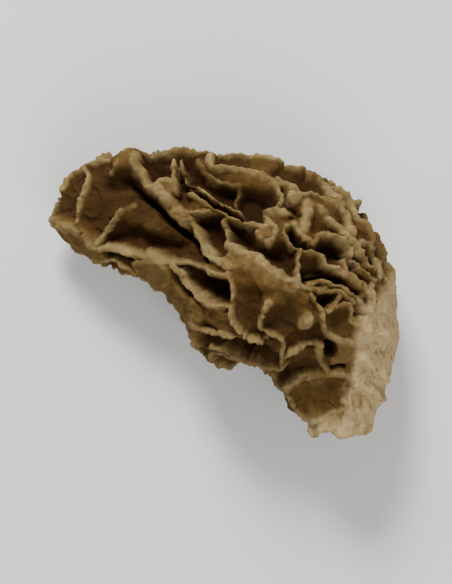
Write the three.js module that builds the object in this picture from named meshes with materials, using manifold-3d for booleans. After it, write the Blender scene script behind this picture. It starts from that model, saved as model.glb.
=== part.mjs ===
// A dried morel mushroom, lying on its side: one grown body, hollow from the cut foot of its
// stem to near the tip of its cap. Millimetres, +Z up, resting on z = 0.
//
// The cap is a pear-shaped shell bent along an arc. Its pits are the cells of a Voronoi net drawn
// on a unit sphere and laid over that shell, and its ridges stand on the lines of the net. In the
// sphere's own axes, +Z is the cap's tip, +X the outside of the bend and +Y up.
import * as THREE from "three";
import { ConvexHull } from "three/addons/math/ConvexHull.js";
import { mergeVertices } from "three/addons/utils/BufferGeometryUtils.js";
import Module from "manifold-3d";

const wasm = await Module();
wasm.setup();

// The arc that the cap and stem are bent along, seen from above. Angles are in degrees about its
// centre, from the cut foot of the stem at 0 to the tip of the cap.
const ARC_CENTRE = { x: -16.9, y: -21.6 };
const ARC_RADIUS = 34.1;
const TIP_ANGLE = 107.5;
const CAP_FOOT_ANGLE = 4;

// The shell that the tops of the ridges reach: half its width near the tip, at its fullest and at
// its foot, as radii for the unit sphere, with the sphere heights between which it swells and
// tapers. Then its thickness as a share of its width, and how high its middle lies.
const SLIM_HALF_WIDTH = 12.2;
const FULL_HALF_WIDTH = 18.4;
const FOOT_HALF_WIDTH = 14.5;
const SWELL = { from: 0.35, to: -0.35 };
const TAPER = { from: -0.5, to: -0.8 };
const FLATTENING = 0.76;
const BELLY_HEIGHT = 10.8;
const TIP_HEIGHT = 5.4;
const BELLY_ANGLE = 48;
const LUMPS = 0.03;

// Ridges: half their thickness, and how far they wave and lean.
const RIDGE_HALF_WIDTH = 1.05;
const SHOULDER = 0.55;
const WALL_FOOT = 1.6;
const DEPTH_REACH = 1.8;
const CREST_STEP = 2.6;
const WAVES = [
  { along: [0.1, 0.83, 0.61], push: [0.42, 0.1, 0.2], phase: 0.4 },
  { along: [0.92, -0.2, 0.35], push: [0.05, 0.45, 0.2], phase: 1.9 },
  { along: [0.5, 0.64, -0.8], push: [0.3, -0.25, 0.3], phase: 3.1 },
  { along: [1.7, -1.3, 0.9], push: [0.2, 0.14, 0.16], phase: 2.2 },
  { along: [-1.1, 1.9, 1.2], push: [0.12, 0.2, -0.18], phase: 5.0 },
];

// The pits of the upper side: each one's depth, how much of their height the ridges round it keep,
// and the points [x, y] that it runs through, seen from above. A very shallow one is a broad,
// flat-topped place in the ridges.
const UPPER_PITS = [
  { depth: 2.6, rim: 0.7, through: [[-24.2, 15.5], [-24.2, 11.8]] },
  { depth: 2.8, rim: 0.45, through: [[-20.2, 16.8], [-20.4, 13.2]] },
  { depth: 3.8, rim: 0.6, through: [[-14.4, 8.8], [-10.6, 7.7]] },
  {
    depth: 4.9,
    rim: 1.0,
    through: [[-16.6, 17.1], [-13.4, 14.7], [-10.6, 11.8], [-8.4, 9.7], [-6.2, 7.5], [-4.5, 4.9]],
  },
  { depth: 0.6, rim: 1.0, through: [[-14.9, 12.8], [-12.2, 10.2], [-9.6, 7.7], [-7.5, 5.5]] },
  { depth: 4.0, rim: 1.0, through: [[-10.2, 18.8]] },
  { depth: 0.3, rim: 1.0, through: [[-10.6, 15.2], [-8.4, 12.8]] },
  { depth: 4.4, rim: 1.0, through: [[-3.7, 11.5], [-2.2, 9.5]] },
  { depth: 2.4, rim: 1.0, through: [[-5.7, 14.5]] },
  { depth: 2.0, rim: 0.9, through: [[-2.7, 18.8]] },
  { depth: 4.2, rim: 1.0, through: [[-3.7, 16.9], [-0.2, 16.1]] },
  { depth: 3.6, rim: 0.9, through: [[-2.2, 13.7], [1.4, 11.8]] },
  { depth: 4.7, rim: 1.0, through: [[3.3, 15.2], [5.8, 14.8], [4.8, 12.5]] },
  { depth: 4.5, rim: 1.0, through: [[2.3, 8.8], [6.3, 6.5], [8.8, 4.5]] },
  { depth: 3.9, rim: 1.0, through: [[10.6, 8.7]] },
  { depth: 2.0, rim: 0.9, through: [[11.4, 17.1], [14.8, 16.1]] },
  { depth: 3.2, rim: 0.9, through: [[10.4, 13.5]] },
  { depth: 1.8, rim: 0.7, through: [[14.4, 11.5]] },
  { depth: 2.4, rim: 0.9, through: [[19.1, 12.2]] },
  { depth: 4.8, rim: 1.0, through: [[15.4, 6.9], [17.8, 6.9], [18.4, 4.5]] },
  { depth: 3.7, rim: 1.0, through: [[12.8, 3.4], [15.8, 3.9]] },
  { depth: 4.0, rim: 1.0, through: [[15.4, -1.1]] },
  { depth: 3.6, rim: 1.0, through: [[20.8, 3.9], [22.4, 1.9]] },
  { depth: 2.8, rim: 1.0, through: [[22.8, 6.5]] },
  { depth: 2.6, rim: 1.0, through: [[17.4, -4.5]] },
  { depth: 3.3, rim: 0.9, through: [[20.6, -3.1]] },
  { depth: 3.0, rim: 0.9, through: [[22.6, -1.1]] },
  { depth: 4.6, rim: 1.0, through: [[-4.0, 1.6], [-1.6, -0.1]] },
  { depth: 1.7, rim: 0.8, through: [[-2.2, -5.1]] },
  { depth: 3.4, rim: 0.8, through: [[2.3, -1.5], [3.3, -5.1]] },
  { depth: 3.4, rim: 0.8, through: [[9.1, -3.9], [8.4, -6.3], [10.8, -7.3]] },
  { depth: 0.2, rim: 1.0, through: [[12.6, -4.5]] },
  { depth: 4.6, rim: 1.0, through: [[14.8, -8.5]] },
  { depth: 4.2, rim: 1.0, through: [[-1.2, -9.3], [2.3, -10.5], [5.8, -11.2]] },
  { depth: 2.8, rim: 0.9, through: [[11.4, -10.5]] },
  { depth: 3.0, rim: 0.9, through: [[11.1, -14.8], [14.4, -15.3]] },
  { depth: 0.7, rim: 1.0, through: [[3.3, 2.6], [6.8, 1.6]] },
  { depth: 0.7, rim: 0.8, through: [[-10.6, 1.9], [-8.2, -2.1]] },
  { depth: 1.8, rim: 0.7, through: [[21.1, -7.5], [21.8, -11.2]] },
];

// The pits of the rest of the cap are sown evenly by a rule, from a seeded random draw.
const SOW_SEED = 17;
const SOW_TRIES = 3000;
const SOW_SPACING = 0.28;
const UPPER_EDGE = 0.34;
const JOINED_SHARE = 0.4;
const SOWN_DEPTH = { least: 2.0, most: 4.0 };
const SOWN_RIM = { least: 0.6, most: 1.0 };

// The stem, which widens upwards on the outside of the bend only, and the hollow inside.
const STEM_TOP_ANGLE = 27;
const STEM_FOOT_ANGLE = 0.5;
const STEM_HALF_WIDTH = 4.6;
const STEM_FLARE = 3.6;
const STEM_FLATTENING = { foot: 0.92, top: 0.6 };
const STEM_RIBS = 9;
const STEM_RIB_HEIGHT = 0.36;
const STEM_ROWS = 13;
const STEM_SIDES = 45;
const BORE_HALF_WIDTH = 3.3;
const BORE_HALF_HEIGHT = 3.1;
const HOLLOW_SHIFT = 1.2;
const HOLLOW_INSET = 5.7;
const HOLLOW_TIP_ANGLE = 84;
const HOLLOW_ROWS = 22;
const HOLLOW_SIDES = 24;

const { MathUtils, Vector3 } = THREE;
const mix = MathUtils.lerp;

// 0 below `from`, 1 above `to`, and smooth between them, whichever of the two is larger.
function ease(value, from, to) {
  const share = MathUtils.clamp((value - from) / (to - from), 0, 1);
  return share * share * (3 - 2 * share);
}

// A point beside the arc: `angle` round it, `outward` from it in plan, and `up` from its middle.
function besideArc(angle, outward, up) {
  const turn = MathUtils.degToRad(angle);
  const height = mix(BELLY_HEIGHT, TIP_HEIGHT, ease(angle, BELLY_ANGLE, TIP_ANGLE));
  return new Vector3(
    ARC_CENTRE.x + (ARC_RADIUS + outward) * Math.cos(turn),
    ARC_CENTRE.y + (ARC_RADIUS + outward) * Math.sin(turn),
    height + up,
  );
}

const CAP_MIDDLE_ANGLE = (TIP_ANGLE + CAP_FOOT_ANGLE) / 2;
const CAP_HALF_ANGLE = (TIP_ANGLE - CAP_FOOT_ANGLE) / 2;

// Half the shell's width where the sphere's height is `z`, before it rounds off to its two ends.
function fullness(z) {
  const swell = (FULL_HALF_WIDTH - SLIM_HALF_WIDTH) * ease(z, SWELL.from, SWELL.to);
  const taper = (FULL_HALF_WIDTH - FOOT_HALF_WIDTH) * ease(z, TAPER.from, TAPER.to);
  return SLIM_HALF_WIDTH + swell - taper;
}

// The point of the cap's outer shell for a direction on the unit sphere.
function shellPoint(direction) {
  const { x, y, z } = direction;
  const angle = CAP_MIDDLE_ANGLE + CAP_HALF_ANGLE * z;
  const lump = 1 + LUMPS * (Math.sin(4.1 * x + 2.3 * z) + Math.sin(5.2 * y - 3.7 * z + 1.3));
  const reach = fullness(z) * lump;
  return besideArc(angle, reach * x, reach * FLATTENING * y);
}

// The sphere's direction for a point of the upper side seen from above.
function directionAbove([x, y]) {
  const outward = Math.hypot(x - ARC_CENTRE.x, y - ARC_CENTRE.y) - ARC_RADIUS;
  const angle = MathUtils.radToDeg(Math.atan2(y - ARC_CENTRE.y, x - ARC_CENTRE.x));
  const z = MathUtils.clamp((angle - CAP_MIDDLE_ANGLE) / CAP_HALF_ANGLE, -0.99, 0.99);
  const side = outward / fullness(z);
  const rise = Math.sqrt(Math.max(0.01, 1 - z * z - side * side));
  return new Vector3(side, rise, z).normalize();
}

// The shell's outward normal, from two small steps over the sphere.
function shellNormal(direction) {
  const step = 1e-3;
  const aside = Math.abs(direction.y) < 0.9 ? new Vector3(0, 1, 0) : new Vector3(1, 0, 0);
  const u = new Vector3().crossVectors(aside, direction).normalize();
  const v = new Vector3().crossVectors(direction, u);
  const across = (t) =>
    shellPoint(direction.clone().addScaledVector(t, step).normalize()).sub(
      shellPoint(direction.clone().addScaledVector(t, -step).normalize()),
    );
  const normal = across(u).cross(across(v)).normalize();
  const outward = shellPoint(direction).sub(besideArc(CAP_MIDDLE_ANGLE + CAP_HALF_ANGLE * 0.8 * direction.z, 0, 0));
  return normal.dot(outward) < 0 ? normal.negate() : normal;
}

// A seeded random draw from 0 to 1, and a fixed one for a pair of pits.
let drawn = SOW_SEED;
function draw() {
  drawn = (drawn * 1664525 + 1013904223) % 4294967296;
  return drawn / 4294967296;
}
function pairDraw(a, b) {
  const wild = Math.sin(Math.min(a, b) * 12.9898 + Math.max(a, b) * 78.233) * 43758.5453;
  return wild - Math.floor(wild);
}

// Every point that a pit runs through: its direction, and its pit's number, depth and rim.
function sowPits() {
  const seeds = [];
  UPPER_PITS.forEach(({ depth, rim, through }, pit) => {
    for (const spot of through) seeds.push({ direction: directionAbove(spot), pit, depth, rim });
  });
  const upperCount = seeds.length;
  for (let i = 0; i < SOW_TRIES; i++) {
    const z = 2 * draw() - 1;
    const turn = 2 * Math.PI * draw();
    const girth = Math.sqrt(1 - z * z);
    const direction = new Vector3(girth * Math.cos(turn), girth * Math.sin(turn), z);
    if (direction.y > UPPER_EDGE) continue;
    if (seeds.some((s) => s.direction.distanceTo(direction) < SOW_SPACING)) continue;
    const sown = seeds.slice(upperCount);
    const near = sown.find((s) => s.direction.distanceTo(direction) < 1.5 * SOW_SPACING);
    const deep = mix(SOWN_DEPTH.least, SOWN_DEPTH.most, draw());
    const rim = mix(SOWN_RIM.least, SOWN_RIM.most, draw());
    const joined = near && draw() < JOINED_SHARE;
    seeds.push(
      joined
        ? { ...near, direction }
        : { direction, pit: UPPER_PITS.length + seeds.length, depth: deep, rim },
    );
  }
  return seeds;
}

// The Voronoi net of the seeds: the faces of their convex hull give its corners, and a walk round
// each seed gives its cell, as a list of corners with the seed that lies across each side.
function voronoiNet(seeds) {
  const points = seeds.map((s) => s.direction);
  const numberOf = new Map(points.map((point, i) => [point, i]));
  const corners = [];
  const faceLeftOf = new Map();
  for (const face of new ConvexHull().setFromPoints(points).faces) {
    const ring = [];
    let edge = face.edge;
    do {
      ring.push(numberOf.get(edge.head().point));
      edge = edge.next;
    } while (edge !== face.edge);
    ring.forEach((a, i) => faceLeftOf.set(`${a} ${ring[(i + 1) % 3]}`, { ring, corner: corners.length }));
    corners.push(face.normal.clone());
  }
  const cells = seeds.map((_, a) => {
    const start = [...faceLeftOf.entries()].find(([key]) => key.startsWith(`${a} `))[1];
    const sides = [];
    let face = start;
    do {
      const across = face.ring[(face.ring.indexOf(a) + 2) % 3];
      const next = faceLeftOf.get(`${a} ${across}`);
      sides.push({ from: face.corner, to: next.corner, across });
      face = next;
    } while (face !== start);
    return sides;
  });
  return { corners, cells };
}

// Directions from one corner of the net to the next, without the last, in even short steps.
function alongSide(start, end) {
  const length = shellPoint(start).distanceTo(shellPoint(end));
  const steps = Math.max(1, Math.round(length / CREST_STEP));
  return Array.from({ length: steps }, (_, i) => start.clone().lerp(end, i / steps).normalize());
}

const seeds = sowPits();
const net = voronoiNet(seeds);

// Every ridge as short straight stretches on the shell. Two parts of one pit have none between them.
function ridgeStretches() {
  const stretches = [];
  net.cells.forEach((sides, a) => {
    for (const { from, to, across } of sides) {
      if (a > across || seeds[a].pit === seeds[across].pit) continue;
      const chance = pairDraw(a, across);
      const keep = Math.min(seeds[a].rim, seeds[across].rim) * mix(0.8, 1, chance);
      const path = [...alongSide(net.corners[from], net.corners[to]), net.corners[to]].map(shellPoint);
      for (let i = 1; i < path.length; i++) {
        stretches.push({
          line: new THREE.Line3(path[i - 1], path[i]),
          keep,
          halfWidth: RIDGE_HALF_WIDTH * mix(0.75, 1.3, (chance * 7) % 1),
        });
      }
    }
  });
  return stretches;
}
const ridges = ridgeStretches();
const seedSpots = seeds.map((s) => shellPoint(s.direction));

// How much of a ridge's full height stands at a point of the shell: 1 on a whole crest.
function ridgeAt(point) {
  const nearest = new Vector3();
  let most = 0;
  for (const { line, keep, halfWidth } of ridges) {
    line.closestPointToPoint(point, true, nearest);
    const far = nearest.distanceTo(point) / halfWidth;
    if (far < 4) most = Math.max(most, keep * Math.exp(-far * far));
  }
  return most;
}

// The depth of the pits round a point, blended from one to the next.
function pitDepthAt(point) {
  let total = 0;
  let weights = 0;
  seedSpots.forEach((spot, i) => {
    const weight = Math.exp(-spot.distanceToSquared(point) / (DEPTH_REACH * DEPTH_REACH));
    total += weight * seeds[i].depth;
    weights += weight;
  });
  return total / weights;
}

// The sideways and upward wander of a crest at a point, as a sum of waves.
function wander(point) {
  const sum = new Vector3();
  for (const { along, push, phase } of WAVES) {
    const swing = Math.sin(point.dot(new Vector3(...along)) + phase);
    sum.addScaledVector(new Vector3(...push), swing);
  }
  return sum;
}

// The finished surface for a direction: the shell, sunk to the pit's floor away from the ridges.
function capSurface(direction) {
  const point = shellPoint(direction);
  const ridge = ridgeAt(point);
  const depth = pitDepthAt(point) * (1 - ridge);
  return wander(point).multiplyScalar(ridge).add(point).addScaledVector(shellNormal(direction), -depth);
}

// The cap as a closed mesh. Each cell of the net has its crest, shoulder and wall foot as rings of
// points round its middle, and neighbouring cells share their crest.
function capGeometry() {
  const positions = [];
  const triangles = [];
  const addPoint = (direction) => positions.push(...capSurface(direction).toArray()) / 3 - 1;
  const cornerIds = net.corners.map(addPoint);
  const sideIds = new Map();
  const idsAlong = (from, to) => {
    const forward = from < to;
    const key = forward ? `${from} ${to}` : `${to} ${from}`;
    if (!sideIds.has(key)) {
      const path = alongSide(net.corners[Math.min(from, to)], net.corners[Math.max(from, to)]).slice(1);
      sideIds.set(key, path.map((direction) => ({ direction, id: addPoint(direction) })));
    }
    const between = sideIds.get(key);
    return forward ? between : [...between].reverse();
  };
  for (const sides of net.cells) {
    const crest = sides.flatMap(({ from, to }) => [
      { direction: net.corners[from], id: cornerIds[from] },
      ...idsAlong(from, to),
    ]);
    const middle = crest.reduce((sum, c) => sum.add(c.direction), new Vector3()).normalize();
    const middleSpot = shellPoint(middle);
    const ringIn = (inset, mostShare) =>
      crest.map(({ direction }) => {
        const share = Math.min(inset / shellPoint(direction).distanceTo(middleSpot), mostShare);
        return addPoint(direction.clone().lerp(middle, share).normalize());
      });
    const rings = [crest.map((c) => c.id), ringIn(SHOULDER, 0.25), ringIn(WALL_FOOT, 0.6)];
    const centre = addPoint(middle);
    crest.forEach((_, i) => {
      const j = (i + 1) % crest.length;
      for (let r = 1; r < rings.length; r++) {
        const [outer, inner] = [rings[r - 1], rings[r]];
        triangles.push(outer[i], inner[j], outer[j], outer[i], inner[i], inner[j]);
      }
      triangles.push(rings[2][i], centre, rings[2][j]);
    });
  }
  return geometryOf(positions, triangles);
}

function geometryOf(positions, triangles) {
  return new THREE.BufferGeometry()
    .setAttribute("position", new THREE.Float32BufferAttribute(positions, 3))
    .setIndex(triangles);
}

// A closed tube along the arc, in rows of points: `pointAt(share, turn)` gives each one.
function tubeGeometry(rows, sides, pointAt) {
  const positions = [];
  const triangles = [];
  const addPoint = (point) => positions.push(...point.toArray()) / 3 - 1;
  for (let row = 0; row < rows; row++) {
    for (let side = 0; side < sides; side++) {
      addPoint(pointAt(row / (rows - 1), (2 * Math.PI * side) / sides));
    }
  }
  const middleOf = (row) => {
    const middle = new Vector3();
    for (let side = 0; side < sides; side++) {
      middle.add(new Vector3().fromArray(positions, 3 * (row * sides + side)));
    }
    return addPoint(middle.divideScalar(sides));
  };
  const firstEnd = middleOf(0);
  const lastEnd = middleOf(rows - 1);
  for (let side = 0; side < sides; side++) {
    const next = (side + 1) % sides;
    for (let row = 1; row < rows; row++) {
      const [a, b] = [(row - 1) * sides, row * sides];
      triangles.push(a + side, b + next, a + next, a + side, b + side, b + next);
    }
    triangles.push(firstEnd, side, next);
    triangles.push(lastEnd, (rows - 1) * sides + next, (rows - 1) * sides + side);
  }
  return geometryOf(positions, triangles);
}

function stemGeometry() {
  return tubeGeometry(STEM_ROWS, STEM_SIDES, (share, turn) => {
    const ragged = 0.8 * Math.sin(3 * turn + 0.7) + 0.5 * Math.sin(7 * turn);
    const angle = mix(STEM_FOOT_ANGLE + ragged, STEM_TOP_ANGLE, share);
    const flare = ease(share, 0, 0.8);
    const ribs = STEM_RIB_HEIGHT * Math.sin(STEM_RIBS * turn + 2.4 * share);
    const half = STEM_HALF_WIDTH + STEM_FLARE * flare + ribs;
    const flattening = mix(STEM_FLATTENING.foot, STEM_FLATTENING.top, flare);
    return besideArc(angle, STEM_FLARE * flare + half * Math.cos(turn), flattening * half * Math.sin(turn));
  });
}

// The hollow: the stem's bore, opening out inside the cap and closing a wall's thickness short of it.
function hollowGeometry() {
  const foot = STEM_FOOT_ANGLE - 5;
  return tubeGeometry(HOLLOW_ROWS, HOLLOW_SIDES, (share, turn) => {
    const angle = mix(foot, HOLLOW_TIP_ANGLE, share);
    const z = (angle - CAP_MIDDLE_ANGLE) / CAP_HALF_ANGLE;
    const shell = fullness(z) * Math.sqrt(Math.max(0, 1 - z * z));
    const least = z < 0 ? [BORE_HALF_WIDTH, BORE_HALF_HEIGHT] : [1, 0.5];
    const halfWidth = Math.max(least[0], shell - HOLLOW_INSET);
    const halfHeight = Math.max(least[1], FLATTENING * shell - HOLLOW_INSET);
    const shift = HOLLOW_SHIFT * ease(angle, 9, 16) * ease(angle, 36, 22);
    return besideArc(angle, shift + halfWidth * Math.cos(turn), halfHeight * Math.sin(turn));
  });
}

// three.js geometry to a manifold-3d solid, and back.
function solidOf(geometry) {
  const merged = mergeVertices(geometry.deleteAttribute("normal").deleteAttribute("uv"));
  const solid = new wasm.Manifold(
    new wasm.Mesh({
      numProp: 3,
      vertProperties: merged.attributes.position.array,
      triVerts: new Uint32Array(merged.index.array),
    }),
  );
  return solid;
}
function geometryFrom(solid) {
  const mesh = solid.getMesh();
  return new THREE.BufferGeometry()
    .setAttribute("position", new THREE.BufferAttribute(mesh.vertProperties, 3))
    .setIndex(new THREE.BufferAttribute(mesh.triVerts, 1));
}

// Everything below the ground, which flattens the lowest crests where the mushroom rests.
function groundGeometry() {
  const side = 200;
  return new THREE.BoxGeometry(side, side, side).translate(0, 0, -side / 2);
}

const body = solidOf(capGeometry())
  .add(solidOf(stemGeometry()))
  .subtract(solidOf(hollowGeometry()))
  .subtract(solidOf(groundGeometry()));

const morel = new THREE.Mesh(
  geometryFrom(body),
  new THREE.MeshStandardMaterial({ color: 0x8d6f42, roughness: 0.9, metalness: 0 }),
);
morel.name = "morel";

const root = new THREE.Group();
root.add(morel);
export default root;
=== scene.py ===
"""A dried morel mushroom lying on its side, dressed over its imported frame.

One grown body: a bent, pear-shaped cap of raised ridges and deep pits that runs down into a
short, cut, hollow stem. Lengths are worked out in millimetres and put into Blender in metres.
"""
from collections import namedtuple

import bmesh
import bpy
import numpy as np
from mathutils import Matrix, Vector


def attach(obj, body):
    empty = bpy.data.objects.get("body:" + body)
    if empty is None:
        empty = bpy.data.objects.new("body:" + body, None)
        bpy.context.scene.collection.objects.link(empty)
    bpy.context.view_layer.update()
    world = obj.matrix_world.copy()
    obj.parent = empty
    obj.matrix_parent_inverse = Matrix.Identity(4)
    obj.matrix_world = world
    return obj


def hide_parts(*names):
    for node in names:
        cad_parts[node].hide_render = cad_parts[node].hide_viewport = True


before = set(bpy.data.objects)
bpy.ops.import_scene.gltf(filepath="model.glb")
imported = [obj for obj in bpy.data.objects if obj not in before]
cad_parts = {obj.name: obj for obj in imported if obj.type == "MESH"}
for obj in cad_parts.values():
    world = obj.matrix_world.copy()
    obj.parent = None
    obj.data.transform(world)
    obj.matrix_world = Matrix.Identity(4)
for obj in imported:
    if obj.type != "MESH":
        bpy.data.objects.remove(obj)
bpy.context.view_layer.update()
MM = 0.001

# The camera looks straight down on the mushroom, with the foot of the stem at the bottom, from
# far enough away that the near ridges aren't stretched.
CAMERA_HEIGHT = 0.42
CAMERA_LENS = 215
CAMERA_SENSOR = 36
CAMERA_AIM = (0.0, 0.0)
NEAREST_SEEN = 0.01

camera_data = bpy.data.cameras.new("camera")
camera_data.lens = CAMERA_LENS
camera_data.sensor_fit = "HORIZONTAL"
camera_data.sensor_width = CAMERA_SENSOR
camera_data.clip_start = NEAREST_SEEN
camera = bpy.data.objects.new("camera", camera_data)
camera.location = (*CAMERA_AIM, CAMERA_HEIGHT)
bpy.context.scene.collection.objects.link(camera)
bpy.context.scene.camera = camera


# The mushroom is one grown body of thin, leathery, dried flesh. It dried in a bend, so the cap and
# the stem follow one flat arc, which lies a belly's height above the table and sinks towards the
# tip, which rests on it too. Angles along the arc are in degrees, from the stem's foot to the tip.
ARC_CENTRE = np.array([-16.9, -21.6])
ARC_RADIUS = 34.1
TIP_ANGLE = 107.5
CAP_FOOT_ANGLE = 4.0
BELLY_HEIGHT = 10.8
TIP_HEIGHT = 5.4
BELLY_ANGLE = 48.0
CAP_MIDDLE_ANGLE = (TIP_ANGLE + CAP_FOOT_ANGLE) / 2
CAP_HALF_ANGLE = (TIP_ANGLE - CAP_FOOT_ANGLE) / 2


def mix(low, high, share):
    """A straight blend: low where share is 0, high where it is 1."""
    return low + (high - low) * share


def ease(value, start, end):
    """0 up to start, 1 past end, and 3s^2 - 2s^3 of the share s of the way between them."""
    share = np.clip((value - start) / (end - start), 0, 1)
    return share * share * (3 - 2 * share)


def beside_arc(angle, outward, up):
    """Points beside the arc: angle round it, outward from it in plan, and up from its middle."""
    turn = np.radians(angle)
    height = mix(BELLY_HEIGHT, TIP_HEIGHT, ease(angle, BELLY_ANGLE, TIP_ANGLE))
    x = ARC_CENTRE[0] + (ARC_RADIUS + outward) * np.cos(turn)
    y = ARC_CENTRE[1] + (ARC_RADIUS + outward) * np.sin(turn)
    return np.stack(np.broadcast_arrays(x, y, height + up), axis=-1)


# The bare skin, which the tops of the ridges reach. The cap is a unit sphere whose z runs along
# the arc to the tip, x out of the bend and y up, swollen like a pear and a little lumpy, and the
# short stem grows out of its foot.
SLIM_HALF_WIDTH = 12.2
FULL_HALF_WIDTH = 18.4
FOOT_HALF_WIDTH = 14.5
TIP_HALF_WIDTH = 13.6
BLUNT = (0.4, 0.8)
SWELL = (0.35, -0.35)
TAPER = (-0.5, -0.8)
FLATTENING = 0.76
LUMPS = 0.03
TIP_FADE_ANGLE = 12.0
STEM_TOP_ANGLE = 27.0
STEM_FOOT_ANGLE = 0.5
STEM_FADE_ANGLE = 6.0
STEM_HALF_WIDTH = 4.6
STEM_FLARE = 3.6
STEM_FLARE_END = 0.8
STEM_FLATTENING = (0.92, 0.6)
STEM_RIBS = 9
STEM_RIB_HEIGHT = 0.3
STEM_RIB_TWIST = 2.4
SKIRT_HALF_WIDTH = 8.6
SKIRT_TOP_ANGLE = 13.0
SKIRT_FOOT_ANGLE = 1.2
JOIN_SOFTNESS = 0.9
LEAST_WIDTH = 0.001


def fullness(z):
    """Half the shell's width at sphere height z, before it rounds off.

    It is blunt at the tip, slim behind it, swells towards the middle and tapers to the foot."""
    blunt = (TIP_HALF_WIDTH - SLIM_HALF_WIDTH) * ease(z, *BLUNT)
    swell = (FULL_HALF_WIDTH - SLIM_HALF_WIDTH) * ease(z, *SWELL)
    taper = (FULL_HALF_WIDTH - FOOT_HALF_WIDTH) * ease(z, *TAPER)
    return SLIM_HALF_WIDTH + blunt + swell - taper


def lumpy(x, y, z):
    """The lumps' factor of the half width: 1 and a little of two crossing sine waves."""
    return 1 + LUMPS * (np.sin(5.2 * y - 3.7 * z + 1.3) - np.sin(4.1 * x + 2.3 * z))


def shell_points(direction):
    """The shell's points for unit directions: the arc, plus the lumpy half width times x and y."""
    x, y, z = np.moveaxis(direction, -1, 0)
    reach = fullness(z) * lumpy(x, y, z)
    angle = CAP_MIDDLE_ANGLE + CAP_HALF_ANGLE * z
    return beside_arc(angle, reach * x, reach * FLATTENING * y)


def soft_larger(a, b):
    """The larger of two lengths, rounded off where they are alike."""
    return (a + b + np.sqrt((a - b) ** 2 + JOIN_SOFTNESS ** 2)) / 2


def reaches(angle, turn):
    """How far the bare skin reaches out of the bend, into it and up, at an angle and a turn.

    The cap's ellipse and the stem's ellipse, which is thicker towards the outside of the bend as
    it rises, are joined: each reaches out, in and up, and the larger one counts. Inside the bend
    a skirt of the cap, a quarter ellipse, hangs down beside the stem."""
    z = np.clip((angle - CAP_MIDDLE_ANGLE) / CAP_HALF_ANGLE, -1, 1)
    girth = np.sqrt(1 - z * z)
    cap = fullness(z) * girth * lumpy(girth * np.cos(turn), girth * np.sin(turn), z)
    share = np.clip((angle - STEM_FOOT_ANGLE) / (STEM_TOP_ANGLE - STEM_FOOT_ANGLE), 0, 1)
    flare = ease(share, 0, STEM_FLARE_END)
    ribs = STEM_RIB_HEIGHT * np.sin(STEM_RIBS * turn + STEM_RIB_TWIST * share)
    below_cap = ease(angle, STEM_TOP_ANGLE + STEM_FADE_ANGLE, STEM_TOP_ANGLE)
    stem = (STEM_HALF_WIDTH + STEM_FLARE * flare + ribs) * below_cap
    lowered = np.clip((SKIRT_TOP_ANGLE - angle) / (SKIRT_TOP_ANGLE - SKIRT_FOOT_ANGLE), 0, 1)
    skirt = SKIRT_HALF_WIDTH * np.sqrt(1 - lowered ** 2) * below_cap
    joined = (soft_larger(cap, STEM_FLARE * flare + stem),
              soft_larger(cap, np.maximum(stem - STEM_FLARE * flare, skirt)),
              soft_larger(FLATTENING * cap, mix(*STEM_FLATTENING, flare) * stem))
    softness = ease(angle, TIP_ANGLE, TIP_ANGLE - TIP_FADE_ANGLE)
    return [mix(plain, soft, softness) for plain, soft in zip((cap, cap, FLATTENING * cap), joined)]


def bare_skin(angle, turn):
    """The outer skin without its relief, at angles along the arc and turns round it."""
    outside, inside, upward = reaches(angle, turn)
    outward = np.where(np.cos(turn) > 0, outside, inside) * np.cos(turn)
    return beside_arc(angle, outward, upward * np.sin(turn))


def skin_above(plan):
    """The points of the bare skin's upper side that lie at plan points x and y."""
    x, y = (np.asarray(plan, dtype=float) - ARC_CENTRE).T
    angle = np.degrees(np.arctan2(y, x))
    outward = np.hypot(x, y) - ARC_RADIUS
    outside, inside, upward = reaches(angle, np.pi / 2)
    width = np.maximum(np.where(outward > 0, outside, inside), LEAST_WIDTH)
    side = np.clip(outward / width, -1, 1)
    return bare_skin(angle, np.arccos(side))


def unit(vectors):
    """The vectors at length 1."""
    return vectors / np.linalg.norm(vectors, axis=-1, keepdims=True)
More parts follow.
